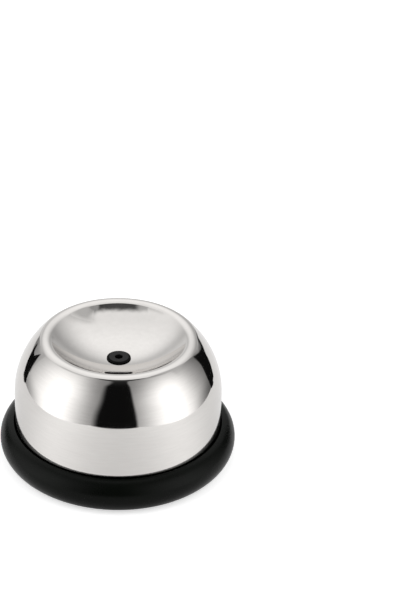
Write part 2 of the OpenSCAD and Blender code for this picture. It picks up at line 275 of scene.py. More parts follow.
paper = new_finish("floor_paper")
fleck = paper.noise(paper.place(), fleck_scale)
paper_white = paper.mix(fleck, grey(floor_white - fleck_by), grey(floor_white + fleck_by))
lit = paper.node("BsdfDiffuse", sockets={"Color": paper_white})
look = Look(paper)
spill = panel_spill * hill(paper, look.side, spill_at, spill_width) \
    + back_spill * paper.between(look.side, *back_span)
straight = floor_lift * rays(paper, "Camera", "Transmission")
mirrored = (mirror_lift + spill) * rays(paper, "Glossy")
lift = paper.node("Emission", sockets={"Color": straight + mirrored})
paper.shine(paper.node("AddShader", sockets={0: lit, 1: lift}))
floor.data.materials.append(paper.owner)
print("floor:", floor_size, "m of pale paper")

# %% Lamps
lamp_at = (0.42, -0.175, 0.56)              # the lamp on the right; the left one mirrors it
lamp_size = 0.5
lamp_power = 1.1                            # watts
for name, side in (("lamp_left", -1), ("lamp_right", 1)):
    bpy.ops.object.light_add(type="AREA", location=(side * lamp_at[0], *lamp_at[1:]))
    lamp = bpy.context.object
    lamp.name = name
    lamp.data.size = lamp_size
    lamp.data.energy = lamp_power
    lamp.rotation_euler = (aim - lamp.location).to_track_quat("-Z", "Y").to_euler()
    lamp.visible_glossy = False
print("two lamps of", lamp_power, "W")

# %% [markdown]
# The glow of the tent is a sum of a few plain shapes. First come the side panels: each is a soft
# hump of light on grey cloth, brightest low down. The cloth is paler overhead, a touch paler in
# the back corner on the left and darker in the one on the right, and the panels' feet lie in
# shade towards the back.

# %% Side glow
panel_grey = 0.246
panel_left = (-65, 43, 27)                  # middle in azimuth, width towards -180, towards 180
panel_right = (59, 31, 29)
peak_left, peak_right = 1.66, 1.72
steady = 1000                               # a width so large that the light hardly changes
fade_left, fade_right = (23, steady, 31), (23, steady, 25)  # fading above an elevation of 23
pale_span, pale_by = (40, 70), 0.09         # elevations over which the cloth turns paler
corner_span, corner_across = (98, 135), (-0.5, 0.5)  # from the sides to the back, left to right
corner_left, corner_right = 0.03, -0.2      # what the back corners gain or lose
feet_span, feet_back = (-8, 6), (75, 105)   # elevations of the feet, from the sides to the back
feet_shade = 0.47


def side_glow(finish, look):
    """The light of both panels and of the cloth around them."""
    left = hill(finish, look.azimuth, *panel_left) * hill(finish, look.elevation, *fade_left)
    right = hill(finish, look.azimuth, *panel_right) * hill(finish, look.elevation, *fade_right)
    corner = finish.between(look.side, *corner_span) \
        * finish.between(look.right, *corner_across, corner_left, corner_right)
    high = finish.between(look.elevation, *pale_span, 0, pale_by)
    shade = finish.between(look.elevation, *feet_span, feet_shade, 0) \
        * finish.between(look.side, *feet_back)
    return (panel_grey + peak_left * left + peak_right * right + high + corner) * (1 - shade)


print("side panels at", panel_left[0], "and", panel_right[0], "degrees")

# %% [markdown]
# The gap is dark between two edges that stand upright in front and run on overhead, softer on
# the left. A mirror this round shows every bend of such an edge, so the edges aren't straight:
# they spread towards the table, close in high up in front, and open again near the zenith.

# %% Front gap
gap_left, gap_right = (-0.468, -0.276), (0.284, 0.357)  # its soft edges, sideways for each step ahead
gap_overhead = 0.683                        # how far the edges close in overhead
least_ahead = 0.01                          # keeps that measure finite right beside the dome
gap_low, gap_mid, gap_high = (5, 35), (49, 58), (58, 66)  # elevations where the edges bend
lean_left, lean_right = 0.077, -0.029       # how far they spread towards the table
close_left, close_right = 0.17, 0.06        # how far they close in high up in front
spread_left, spread_right = 0.27, 0.28      # and how far they open again near the zenith
gap_end = (0.2, 0.3)                        # how far back the gap runs overhead


def gap_mask(finish, look):
    """1 inside the gap, 0 outside it."""
    ahead = finish.math("MAXIMUM", 0 - look.back, gap_overhead * look.up)
    across = look.right / finish.math("MAXIMUM", ahead, least_ahead)
    low = finish.between(look.elevation, *gap_low, 1, 0)
    mid = finish.between(look.elevation, *gap_mid)
    high = finish.between(look.elevation, *gap_high)
    left = across + lean_left * low - close_left * mid + spread_left * high
    right = across + lean_right * low + close_right * mid - spread_right * high
    inside = finish.between(left, *gap_left) * finish.between(right, *gap_right, 1, 0)
    return inside * finish.between(look.back, *gap_end, 1, 0)


print("front gap ready")

# %% [markdown]
# The roof is a bright cap that leans back. Its edge is ragged and draws back in two places. Its
# light dims towards the table, most of all on the right, and a dim and a bright band run across
# the back. A piece of grey wall on the right keeps it from running straight into the panel.

# %% Roof
roof_lean = math.radians(46)
roof_body, roof_heart = (0.72, 0.84, 1.174, 1.249), (0.82, 0.97, 0, 0.114)  # brighter to the middle
roof_low = (0, 46, 0.611, 1)                # dimmer towards the table, by elevation
dim_right, dim_low = (-0.3, 0.6, 0, 0.309), (25, 55, 1, 0)  # and more so on the right, low down
band_dim, band_bright = (19, 6, 8), (7, 5)  # the bands across the back, by elevation
dim_by, bright_by = 0.18, 0.15
roof_edge = (0.530, 0.630)
ragged_by, ragged_scale = 0.05, 16.0
dip_left, dip_right = (-0.60, 0.12, 0.10), (0.50, 0.12, 0.09)  # where the edge draws back
dip_left_by, dip_right_by = 0.06, 0.12


def roof_glow(finish, look, cap):
    """The light of the roof. The cap is how near a direction is to the roof's middle."""
    body = finish.between(cap, *roof_body) + finish.between(cap, *roof_heart)
    low = finish.between(look.elevation, *roof_low)
    shade = 1 - finish.between(look.right, *dim_right) * finish.between(look.elevation, *dim_low)
    bands = 1 - dim_by * hill(finish, look.elevation, *band_dim) \
        + bright_by * hill(finish, look.elevation, *band_bright)
    return body * low * shade * bands


def roof_cover(finish, look, cap):
    """1 under the roof, 0 beside it."""
    ragged = ragged_by * (finish.noise(finish.place(), ragged_scale) - 0.5)
    dip = dip_left_by * hill(finish, look.right, *dip_left) \
        + dip_right_by * hill(finish, look.right, *dip_right)
    return finish.between(cap + ragged - dip, *roof_edge)


print("roof leans back by", round(math.degrees(roof_lean)), "degrees")

# %% Tent glow
dark = 0.006
dark_overhead, overhead_span = 0.087, (50, 76)  # the gap is less black overhead
wall_grey = 0.667
wall_foot, wall_top = (30, 42), (60.6, 70.6)  # edges of the grey wall, in elevation
wall_near, wall_far = (78.7, 83.9), (101.3, 121.3)  # and in azimuth


def wall_mask(finish, look):
    """1 on the grey wall, 0 elsewhere."""
    upright = finish.between(look.elevation, *wall_foot) * finish.between(look.elevation, *wall_top, 1, 0)
    return upright * finish.between(look.azimuth, *wall_near) \
        * finish.between(look.azimuth, *wall_far, 1, 0)


def tent_glow(finish):
    """The light of the whole tent, by direction."""
    look = Look(finish)
    gap = gap_mask(finish, look)
    black = dark + finish.between(look.elevation, *overhead_span, 0, dark_overhead)
    front = side_glow(finish, look) * (1 - gap) + black * gap
    cap = look.back * math.cos(roof_lean) + look.up * math.sin(roof_lean)
    cover = roof_cover(finish, look, cap)
    glow = front * (1 - cover) + roof_glow(finish, look, cap) * cover
    wall = wall_mask(finish, look)
    return glow * (1 - wall) + wall_grey * wall


print("tent glow ready, from", dark, "in the gap to", peak_right, "on the panels")

# %% [markdown]
# The canopy carries this glow all round. It is a sphere, cut off at the table by a bisect. Only
# mirrors may see it: the lamps and the world light the pieces, so the rays of all other kinds
# pass through it.

# %% Canopy
canopy_r = 0.62


def hang(made, name, glow):
    """Makes an object part of the tent: it glows, and only reflections show it."""
    made.name = name
    cloth = new_finish(name)
    cloth.shine(cloth.node("Emission", sockets={"Color": glow(cloth)}))
    made.data.materials.clear()
    made.data.materials.append(cloth.owner)
    for kind in ("camera", "diffuse", "transmission", "volume_scatter", "shadow"):
        setattr(made, "visible_" + kind, False)
    print(name, "hung, with", len(made.data.vertices), "corners")


bpy.ops.object.select_all(action="DESELECT")
bpy.ops.mesh.primitive_uv_sphere_add(segments=64, ring_count=32, radius=canopy_r)
canopy = bpy.context.object
bpy.ops.object.mode_set(mode="EDIT")
bpy.ops.mesh.select_all(action="SELECT")
bpy.ops.transform.translate(value=(0, 0, eye_z))
bpy.ops.mesh.bisect(plane_co=(0, 0, 0), plane_no=(0, 0, 1), clear_inner=True)
bpy.ops.object.mode_set(mode="OBJECT")
hang(canopy, "canopy", tent_glow)

# %% [markdown]
# The canopy is far away, but panels and flags stand close to the dome, and a mirror shows how
# near a thing is. So the two panels and the foot of the gap are cards of their own, painted with
# the same glow. A card is a flat face whose corners are set one by one. The end of the right
# panel is notched, because the flag beside it has to show through there.

# %% Side panels
panel_top, gap_foot_top = 0.30, 0.05


def card(name, corners, glow):
    """A flat card with the given corners."""
    bpy.ops.object.select_all(action="DESELECT")
    bpy.ops.mesh.primitive_circle_add(vertices=len(corners), fill_type="NGON")
    for vertex, corner in zip(bpy.context.object.data.vertices, corners):
        vertex.co = corner
    hang(bpy.context.object, name, glow)


def standing(start, end, outline):
    """Corners of a standing card: each is a share of the way along its foot, and a height."""
    foot, along = Vector(start), Vector(end) - Vector(start)
    return [(*(foot + share * along), height) for share, height in outline]


def whole(top):
    """The outline of a card with square corners."""
    return [(0, 0), (1, 0), (1, top), (0, top)]


notched = [(0.0109, 0), (1, 0), (1, panel_top), (0, panel_top), (0, 0.045),
           (0.0078, 0.0385), (0.0154, 0.030), (0.0183, 0.020), (0.0154, 0.007)]
card("panel_left", standing((-0.131, 0.056), (-0.165, -0.370), whole(panel_top)), tent_glow)
card("panel_right", standing((0.116, 0.049), (0.128, -0.372), notched), tent_glow)
card("gap_foot", standing((-0.15, -0.290), (0.11, -0.290), whole(gap_foot_top)), tent_glow)

# %% [markdown]
# The flags are black cloth in the back corners. The curved dark bands beside the outline of the
# dome are their reflections, so their outlines are curved too. A black card also lies on the
# table in front of each, where the skirt would otherwise show a strip of bright floor.

# %% Dark flags
foot_lift = 0.3 * MM                        # the cards on the table lie just clear of it
flag_left = [(0.10, 0), (0.50, 0), (0.60, 0.008), (0.66, 0.0125), (0.71, 0.0170), (0.78, 0.0215),
             (0.85, 0.0255), (0.92, 0.0300), (0.99, 0.0370), (0.90, 0.0395), (0.70, 0.0362),
             (0.62, 0.0375), (0.52, 0.0395), (0.35, 0.0635), (0.23, 0.045), (0.17, 0.028),
             (0.13, 0.013)]
flag_right = [(-0.06, 0), (0.42, 0), (0.52, 0.008), (0.63, 0.0145), (0.68, 0.0190), (0.72, 0.0235),
              (0.79, 0.0270), (1.12, 0.028), (0.87, 0.0345), (0.69, 0.0405), (0.44, 0.053),
              (0.14, 0.071), (0.10, 0.052), (-0.02, 0.0385), (-0.08, 0.030), (-0.10, 0.020),
              (-0.08, 0.007)]
foot_left = [(-0.1330, 0.0530), (-0.1155, 0.0801), (-0.1100, 0.0690), (-0.1085, 0.0520)]
foot_right = [(0.1205, 0.0400), (0.1110, 0.0600), (0.1020, 0.0530), (0.0990, 0.0470), (0.1060, 0.0420)]


def black_cloth(finish):
    return grey(dark)


card("flag_left", standing((-0.135, 0.050), (-0.100, 0.104), flag_left), black_cloth)
card("flag_right", standing((0.118, 0.045), (0.092, 0.100), flag_right), black_cloth)
card("flag_foot_left", [(*corner, foot_lift) for corner in foot_left], black_cloth)
card("flag_foot_right", [(*corner, foot_lift) for corner in foot_right], black_cloth)

# %% [markdown]
# Nearly every piece of the piercer is round about one upright axis, because it is pressed,
# turned or moulded that way. The natural tool is a lathe: draw half the section once, then spin
# it. The section starts as a plane merged to a single point, which is extruded from point to
# point. Round edges are arcs, so that light rolls over them as it does on a real edge.

# %% Sections
soft_steps = 5                              # steps of the arc that rounds a corner


def arc(centre, radius, start, end, steps):
    """Points of an arc in a section, between two angles in degrees: 0 points out, 90 up."""
    angles = [math.radians(start + (end - start) * i / steps) for i in range(steps + 1)]
    return [(centre[0] + radius * math.cos(a), centre[1] + radius * math.sin(a)) for a in angles]


def angle_of(vector):
    return math.degrees(math.atan2(vector.y, vector.x))


def soft(*corners):
    """A section with its corners rounded: each corner is a radius, a height and a round."""
    points = []
    befores, afters = corners[-1:] + corners[:-1], corners[1:] + corners[:1]
    for before, (r, z, size), after in zip(befores, corners, afters):
        corner = Vector((r, z))
        if size == 0:
            points.append((r, z))
            continue
        back = (Vector(before[:2]) - corner).normalized()
        on = (Vector(after[:2]) - corner).normalized()
        half = back.angle(on) / 2
        middle = corner + (back + on).normalized() * size / math.sin(half)
        reach = size / math.tan(half)
        start, end = angle_of(corner + back * reach - middle), angle_of(corner + on * reach - middle)
        points += arc(middle, size, start, start + (end - start + 180) % 360 - 180, soft_steps)
    return points


print("a rounded corner has", soft_steps + 1, "points")

# %% Lathe
weld = 0.001 * MM
crease = math.radians(30)                   # an edge sharper than this stays sharp in the shading


def add(primitive, name, **settings):
    """Adds one primitive with nothing else selected and opens it for editing."""
    bpy.ops.object.select_all(action="DESELECT")
    primitive(**settings)
    made = bpy.context.object
    made.name = made.data.name = name
    bpy.ops.object.transform_apply(location=True, rotation=True, scale=True)
    bpy.ops.object.mode_set(mode="EDIT")
    bpy.ops.mesh.select_all(action="SELECT")
    return made


def tidy():
    """Welds what touches and turns all faces outwards."""
    bpy.ops.mesh.select_all(action="SELECT")
    bpy.ops.mesh.remove_doubles(threshold=weld)
    bpy.ops.mesh.normals_make_consistent(inside=False)


def lathe(name, section, steps, closed=True):
    """Spins a half section, a list of (radius, height), about the axis."""
    piece = add(bpy.ops.mesh.primitive_plane_add, name, size=MM)
    bpy.ops.mesh.merge(type="CENTER")
    points = [Vector((r, 0, z)) for r, z in section]
    if closed:
        points.append(points[0])
    bpy.ops.transform.translate(value=points[0])
    for here, there in zip(points, points[1:]):
        bpy.ops.mesh.extrude_vertices_move(TRANSFORM_OT_translate={"value": there - here})
    bpy.ops.mesh.select_all(action="SELECT")
    bpy.ops.mesh.remove_doubles(threshold=weld)
    bpy.ops.mesh.select_all(action="SELECT")
    bpy.ops.mesh.spin(steps=steps, angle=math.tau, center=(0, 0, 0), axis=(0, 0, 1))
    tidy()
    bpy.ops.object.mode_set(mode="OBJECT")
    bpy.ops.object.shade_smooth()
    print(name, "spun from", len(section), "points to", len(piece.data.polygons), "faces")
    return piece


def fit(piece, body, material, node):
    """Gives a finished piece its material and its body, and hides the solid that it stands for."""
    piece.data.materials.clear()
    piece.data.materials.append(material)
    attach(piece, body)
    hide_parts(node)
    print(piece.name, "rides on", body, "for", node)


print("lathe ready, welding within", weld, "m")

# %% [markdown]
# The dome is one sheet of stainless steel, drawn in a press and polished to a mirror. Its
# section is a straight skirt, a shoulder arc, a small round rim and the arc of the dish, each
# tangent to the next, with the same again one sheet further in. Solidify could give the wall,
# but a closed section also rounds the hem and the edge of the hole in the same spin.

# %% Dome section
dome_low, dome_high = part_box("dome_shell")
dome_r, overall_h, skirt_z = dome_high.x, dome_high.z, dome_low.z
skirt_top = 18.5 * MM
rim_r = 19.1 * MM
rim_round = 2.4 * MM
dish_depth = 6.9 * MM
dish_hole_r = 2.4 * MM

rim_c = Vector((rim_r, overall_h - rim_round))
across, rise = dome_r - rim_c.x, rim_c.y - skirt_top
shoulder_r = (across ** 2 + rise ** 2 - rim_round ** 2) / (2 * (across - rim_round))
shoulder_c = Vector((dome_r - shoulder_r, skirt_top))
fall = overall_h - dish_depth - rim_c.y
dish_r = (rim_c.x ** 2 + fall ** 2 - rim_round ** 2) / (2 * (rim_round - fall))
dish_c = Vector((0, overall_h - dish_depth + dish_r))
shoulder_end = angle_of(rim_c - shoulder_c)
rim_end = angle_of(dish_c - rim_c)


def sheet_face(inset, steps):
    """One face of the sheet, from the skirt over the rim to the hole in the dish."""
    hole_at = math.degrees(math.asin(dish_hole_r / (dish_r + inset))) - 90
    return arc(shoulder_c, shoulder_r - inset, 0, shoulder_end, steps) \
        + arc(rim_c, rim_round - inset, shoulder_end, rim_end, steps)[1:] \
        + arc(dish_c, dish_r + inset, rim_end - 180, hole_at, steps)[1:]


print("shoulder of", round(shoulder_r / MM, 2), "mm, dish of", round(dish_r / MM, 2), "mm")

# %% Dome
shell_t = 0.9 * MM
hem_round = 0.3 * MM
flat_by = 0.15 * MM                         # keeps the skirt's shading straight beside a round
hem_z = skirt_z + hem_round
skirt_in = dome_r - shell_t
dome_section = arc((dome_r - hem_round, hem_z), hem_round, -90, 0, steps=6) \
    + [(dome_r, hem_z + flat_by), (dome_r, skirt_top - flat_by)] \
    + sheet_face(0, steps=52) + sheet_face(shell_t, steps=26)[::-1] \
    + [(skirt_in, hem_z + flat_by)] \
    + arc((skirt_in + hem_round, hem_z), hem_round, 180, 270, steps=6)
dome = lathe("dome_shell_polished", dome_section, steps=192)

# %% [markdown]
# Mirror polish is never perfect. The press leaves faint rings, which sway the reflections a
# little, and the wheel leaves hairlines and longer streaks around the axis, with a haze that
# comes and goes. Streaks tint the steel by a few hundredths, hairlines and haze live in the
# roughness. The steel itself throws back about six tenths of the light, a little warm.

# %% Mirror steel
hairline_scale, ring_scale, haze_scale = 5200.0, 420.0, 160.0
streak_around, streak_up = 6, 1900          # a streak is long around the axis and thin across
steel_dim, steel_bright = (0.590, 0.572, 0.554, 1), (0.654, 0.636, 0.618, 1)
polish, haze_rough, hairline_rough = 0.035, 0.05, 0.02  # roughness, and what haze and lines add
ring_depth, hairline_share = 0.003 * MM, 0.05  # the swaying, and the lines' part in it


def mirror_steel():
    """Polished stainless sheet."""
    steel = new_finish("mirror_steel")
    place = steel.place()
    x, y, z = steel.parts(place)
    out = (x * x + y * y) ** 0.5
    around = steel.node("CombineXYZ", sockets={"X": out, "Z": z})
    hairlines = steel.noise(around, hairline_scale, detail=3.0)
    rings = steel.noise(around, ring_scale, detail=1.0)
    along = steel.node("CombineXYZ", sockets={
        "X": streak_around * x / out, "Y": streak_around * y / out, "Z": streak_up * (z - out)})
    streaks = steel.noise(along, 1.0, detail=4.0)
    haze = steel.noise(place, haze_scale)
    return steel.surface(Base_Color=steel.mix(streaks, steel_dim, steel_bright), Metallic=1.0,
                         Roughness=polish + haze_rough * streaks * haze + hairline_rough * hairlines,
                         Normal=steel.bump(rings + hairline_share * hairlines, ring_depth))


fit(dome, "dome", mirror_steel(), "dome_shell")

# %% [markdown]
# The black ring is moulded rubber, stretched over the edge of the base. It has a plump round
# section with a flat foot, a lip over the tray's wall and room for the tray inside. In the
# picture only its outer round shows, so that is one true arc, and the lip's edge gets a small
# round of its own, because the dark gap beside the steel makes it stand out.

# %% Base ring
ring_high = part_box("base_ring")[1]
tray_low, tray_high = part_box("base_tray")
clearance = 0.05 * MM                       # between two pieces that fit into each other
ring_r, ring_in = ring_high.x, 27.85 * MM
ring_h = 9.5 * MM                           # of the whole round, before the lip cuts its top off
ring_round = 4.9 * MM
ring_c = Vector((ring_r - ring_round, ring_h - ring_round))
room_r = tray_high.x + clearance
tray_z = tray_low.z
tray_bevel = 1.2 * MM
lip_z = 7.94 * MM
lip_round = 0.10 * MM
foot_at = math.degrees(math.asin(-ring_c.y / ring_round))
floor_at = math.degrees(math.asin((tray_z - ring_c.y) / ring_round))
lip_across = ring_in + lip_round - ring_c.x
lip_up = math.sqrt((ring_round - lip_round) ** 2 - lip_across ** 2)
lip_c = (ring_in + lip_round, ring_c.y + lip_up)
lip_at = math.degrees(math.atan2(lip_up, lip_across))
ring_section = arc(ring_c, ring_round, foot_at, lip_at, steps=64) \
    + arc(lip_c, lip_round, lip_at, 180, steps=8)[1:] \
    + [(ring_in, lip_z), (room_r, lip_z), (room_r, tray_z + tray_bevel), (room_r - tray_bevel, tray_z)] \
    + arc(ring_c, ring_round, 180 - floor_at, 180 - foot_at, steps=8)
base_ring = lathe("base_ring_rubber", ring_section, steps=192)
bpy.ops.object.shade_smooth_by_angle(angle=crease)

# %% [markdown]
# Rubber takes the fine grain of its mould, and a faint bloom rises to its surface with time. The
# bloom makes it paler and duller in places, so one pattern drives both colour and roughness.

# %% Rubber
rubber_grain, rubber_bloom = 2600.0, 120.0  # scales of the two patterns
bloom_rough, grain_rough = 0.10, 0.06
rubber_depth, rubber_bump = 0.02 * MM, 0.35


def rubber(name, dark_tone, pale_tone, rough, gloss):
    """Moulded rubber: a fine grain, with a faint bloom that comes and goes."""
    made = new_finish(name)
    place = made.place()
    grain = made.noise(place, rubber_grain, detail=3.0)
    bloom = made.noise(place, rubber_bloom, detail=3.0)
    return made.surface(Base_Color=made.mix(bloom, dark_tone, pale_tone), Specular_IOR_Level=gloss,
                        Roughness=rough + bloom_rough * bloom + grain_rough * grain,
                        Normal=made.bump(grain, rubber_depth, rubber_bump))


ring_rubber = rubber("ring_rubber", (0.0014, 0.0019, 0.0014, 1), (0.0030, 0.0040, 0.0028, 1),
                     rough=0.20, gloss=0.085)
fit(base_ring, "base", ring_rubber, "base_ring")

# %% [markdown]
# The bush is a small black plastic turning that guides the needle through the dish. Its flange
# is a low cone with a soft edge, and the hole has a small countersink worn round by the needle.

# %% Needle bush
bush_low, bush_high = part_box("needle_bush")
flange_r, flange_top, stem_z = bush_high.x, bush_high.z, bush_low.z
flange_z = 28.331 * MM
flange_bevel = 0.65 * MM
flange_round = 0.12 * MM
stem_r = 2.2 * MM
needle_hole_r = 1.0 * MM
sink = 0.2 * MM
edge_z = flange_z + flange_round
bush_section = [(needle_hole_r, stem_z), (stem_r - sink, stem_z), (stem_r, stem_z + sink),
                (stem_r, flange_z), (flange_r - flange_round, flange_z)] \
    + arc((flange_r - flange_round, edge_z), flange_round, -60, 45, steps=6) \
    + arc((flange_r - flange_bevel, flange_top - 2 * flange_round), 2 * flange_round, 35, 90, steps=6) \
    + arc((needle_hole_r + sink, flange_top - sink), sink, 90, 180, steps=6)
bush = lathe("needle_bush_turned", bush_section, steps=96)
bpy.ops.object.shade_smooth_by_angle(angle=crease)

# %% [markdown]
# Moulded plastic has the grain of its mould and marks where it flowed. One function makes every
# plastic here. The face of the bush has been polished by use, so it gets a thin coat up to a
# given radius, and its edge stays a dull black.

# %% Moulded plastic
plastic_grain, plastic_flow = 3200.0, 240.0  # scales of the two patterns
plastic_tones = (0.75, 1.25)                # the flow marks run between these shares of the colour
flow_rough, mould_rough = 0.08, 0.05
mould_depth, mould_bump = 0.012 * MM, 0.4
face_edge, face_gloss = 0.25 * MM, 0.30     # how soon a polished face ends, and its coat


def plastic(name, colour, rough, gloss=0.4, polished_r=None):
    """Moulded plastic: mould grain and flow marks, with a face that may be polished up to a radius."""
    made = new_finish(name)
    place = made.place()
    grain = made.noise(place, plastic_grain, detail=3.0)
    flow = made.noise(place, plastic_flow)
    thin, full = ([share * level for level in colour] + [1] for share in plastic_tones)
    worn = {}
    if polished_r:
        x, y, _ = made.parts(place)
        out = (x * x + y * y) ** 0.5
        worn["Coat_Weight"] = made.between(out, polished_r, polished_r + face_edge, face_gloss, 0)
    return made.surface(Base_Color=made.mix(flow, thin, full), Specular_IOR_Level=gloss,
                        Roughness=rough + flow_rough * flow + mould_rough * grain,
                        Normal=made.bump(grain, mould_depth, mould_bump), **worn)


bush_plastic = plastic("bush_plastic", (0.004, 0.004, 0.004), 0.34, gloss=0.02, polished_r=2.45 * MM)
fit(bush, "dome", bush_plastic, "needle_bush")

# %% [markdown]
# The dome floats on a return spring of drawn wire, coiled with a flat half turn at each end so
# that it stands square. A curve with a round bevel would do, but here the end of the wire is
# extruded step by step: each step lifts it a little and turns it about the axis. The spring is
# the one piece that changes its length in use, and it gets a mesh of its own.

# %% Return spring
wire_r = 0.45 * MM
coil_r = 11.3 * MM
coil_low, coil_high = 2.7 * MM, 14.9 * MM
coil_turns, flat_turn = 5.5, 0.5
turn_steps = 40


def coil_z(step):
    """Height of the wire's middle after so many steps."""
    share = (step / turn_steps - flat_turn) / (coil_turns - 2 * flat_turn)
    return coil_low + (coil_high - coil_low) * min(max(share, 0), 1)


def turn(degrees, axis="Z"):
    """Turns what is selected about an axis through the origin."""
    # With no window, the operator turns the other way, so it gets the angle with its sign changed.
    bpy.ops.transform.rotate(value=-math.radians(degrees), orient_axis=axis, center_override=(0, 0, 0))


spring = add(bpy.ops.mesh.primitive_circle_add, "return_spring_wire", vertices=16, radius=wire_r,
             fill_type="NGON", location=(coil_r, 0, coil_low), rotation=(math.radians(90), 0, 0))
for step in range(int(coil_turns * turn_steps)):
    rise = coil_z(step + 1) - coil_z(step)
    bpy.ops.mesh.extrude_region_move(TRANSFORM_OT_translate={"value": (0, 0, rise)})
    turn(360 / turn_steps)
tidy()
bpy.ops.object.mode_set(mode="OBJECT")
bpy.ops.object.shade_smooth_by_angle(angle=crease)
print("spring of", coil_turns, "turns,", len(spring.data.polygons), "faces")

# %% [markdown]
# Bright metal inside the piercer is plain stock: drawn wire, turned brass, zinc on steel. Each
# has fine lines from the die or the lathe and a tone that varies a little from spot to spot, so
# one function makes them all, given the colour and how rough it is.

# %% Worked metal
tool_lines, tarnish_scale = 2400.0, 420.0
tarnish_tones = (0.86, 1.06)                # the tone varies between these shares of the colour
tarnish_rough, line_rough = 0.12, 0.10
line_depth, line_bump = 0.004 * MM, 0.4


def metal(name, colour, rough):
    """Drawn or turned metal, with tool lines about the axis and a slight tarnish."""
    made = new_finish(name)
    place = made.place()
    x, y, z = made.parts(place)
    around = made.node("CombineXYZ", sockets={"X": (x * x + y * y) ** 0.5, "Z": z})
    marks = made.noise(around, tool_lines, detail=3.0)
    tarnish = made.noise(place, tarnish_scale, detail=3.0)
    dull, bright = ([share * level for level in colour] + [1] for share in tarnish_tones)
    return made.surface(Base_Color=made.mix(tarnish, dull, bright), Metallic=1.0,
                        Roughness=rough + tarnish_rough * tarnish + line_rough * marks,
                        Normal=made.bump(marks, line_depth, line_bump))


fit(spring, "base", metal("spring_steel", (0.55, 0.55, 0.56), 0.26), "return_spring")
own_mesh(spring)

# %% [markdown]
# The needle is a hard steel pin with a long ground point. It stands in an off-white carriage,
# and a cross pin carries the carriage up and down when the dial underneath is turned. Needle
# and pin are both lathe work; the pin is spun upright, then laid along the X axis.

# %% Needle
needle_low, needle_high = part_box("needle")
needle_r = needle_high.x
point_l = 4 * MM
tip_r = 0.03 * MM
burr = 0.12 * MM
needle_section = [(0, needle_low.z), (needle_r - burr, needle_low.z), (needle_r, needle_low.z + burr),
                  (needle_r, needle_high.z - point_l), (tip_r, needle_high.z - tip_r), (0, needle_high.z)]
needle = lathe("needle_ground", needle_section, steps=48, closed=False)
bpy.ops.object.shade_smooth_by_angle(angle=crease)
fit(needle, "carriage", metal("needle_steel", (0.70, 0.70, 0.70), 0.16), "needle")

# %% Cross pin
pin_low, pin_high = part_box("cross_pin")
pin_r, pin_end, pin_z = pin_high.y, pin_high.x, (pin_low.z + pin_high.z) / 2
pin_round = 0.25 * MM
pin_section = soft((0, -pin_end, 0), (pin_r, -pin_end, pin_round),
                   (pin_r, pin_end, pin_round), (0, pin_end, 0))
cross_pin = lathe("cross_pin_steel", pin_section, steps=48, closed=False)
bpy.ops.object.shade_smooth_by_angle(angle=crease)
bpy.ops.object.mode_set(mode="EDIT")
bpy.ops.mesh.select_all(action="SELECT")
turn(-90, "Y")
bpy.ops.transform.translate(value=(0, 0, pin_z))
bpy.ops.object.mode_set(mode="OBJECT")
zinc_steel = metal("fastener_steel", (0.62, 0.62, 0.62), 0.30)
fit(cross_pin, "carriage", zinc_steel, "cross_pin")

# %% [markdown]
# Three screws go up through cups in the base into the frame under the dome. Their heads stop
# the dome at the top of its stroke, each on a washer. A screw is turned: a domed pan head and a
# shank. The cross in its head is pressed, so here a cross-shaped punch cuts it, by a Boolean.

# %% Travel screws
screw_low, screw_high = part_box("travel_screws")
head_z, screw_end = screw_low.z, screw_high.z
head_t = 2.0 * MM
head_r = 2.75 * MM
screw_r = 1.5 * MM
crown = 0.9 * MM                            # round of the pan head's face
chamfer = 0.35 * MM
head_edge = chamfer / 3
head_top = head_z + head_t
screw_section = [(0, head_z)] + arc((head_r - crown, head_z + crown), crown, -90, 0, steps=10) \
    + [(head_r, head_top - head_edge), (head_r - head_edge, head_top), (screw_r, head_top),
       (screw_r, screw_end - chamfer), (screw_r - chamfer, screw_end), (0, screw_end)]
screw = lathe("travel_screw_a", screw_section, steps=64, closed=False)

# %% Cross recess
recess_w, recess_l, recess_depth = head_t / 3, head_r, head_t / 2
recess_over = 0.2 * MM                      # the punch starts outside the head
punch = add(bpy.ops.mesh.primitive_cube_add, "punch", size=1,
            scale=(recess_l, recess_w, recess_depth + recess_over),
            location=(0, 0, head_z + (recess_depth - recess_over) / 2))
bpy.ops.mesh.duplicate()
turn(-90)
bpy.ops.object.mode_set(mode="OBJECT")


def pick(piece):
    """Selects one piece and nothing else."""
    bpy.ops.object.select_all(action="DESELECT")
    piece.select_set(True)
    bpy.context.view_layer.objects.active = piece


def cut(piece, tool, operation="DIFFERENCE", crossing=False):
    """Applies a Boolean with a tool, whose shells may cross each other, and takes the tool away."""
    pick(piece)
    boolean = piece.modifiers.new("cut", "BOOLEAN")
    boolean.object, boolean.operation = tool, operation
    boolean.solver, boolean.use_self = "EXACT", crossing
    bpy.ops.object.modifier_apply(modifier=boolean.name)
    bpy.data.objects.remove(tool)
    bpy.ops.object.mode_set(mode="EDIT")
    tidy()
    bpy.ops.mesh.quads_convert_to_tris(quad_method="BEAUTY", ngon_method="BEAUTY")
    bpy.ops.object.mode_set(mode="OBJECT")
    bpy.ops.object.shade_smooth_by_angle(angle=crease)
    print(piece.name, "cut to", len(piece.data.polygons), "faces")


cut(screw, punch, crossing=True)

# %% Round the screw circle
screw_at = 18.45 * MM
first_screw, next_screw = 60, 120           # degrees, to the first and from one to the next


def put(piece, value=(0, 0, 0), degrees=0.0):
    """Moves a piece's mesh, then turns it about the axis. The object itself stays put."""
    pick(piece)
    bpy.ops.object.mode_set(mode="EDIT")
    bpy.ops.mesh.select_all(action="SELECT")
    bpy.ops.transform.translate(value=value)
    turn(degrees)
    bpy.ops.object.mode_set(mode="OBJECT")


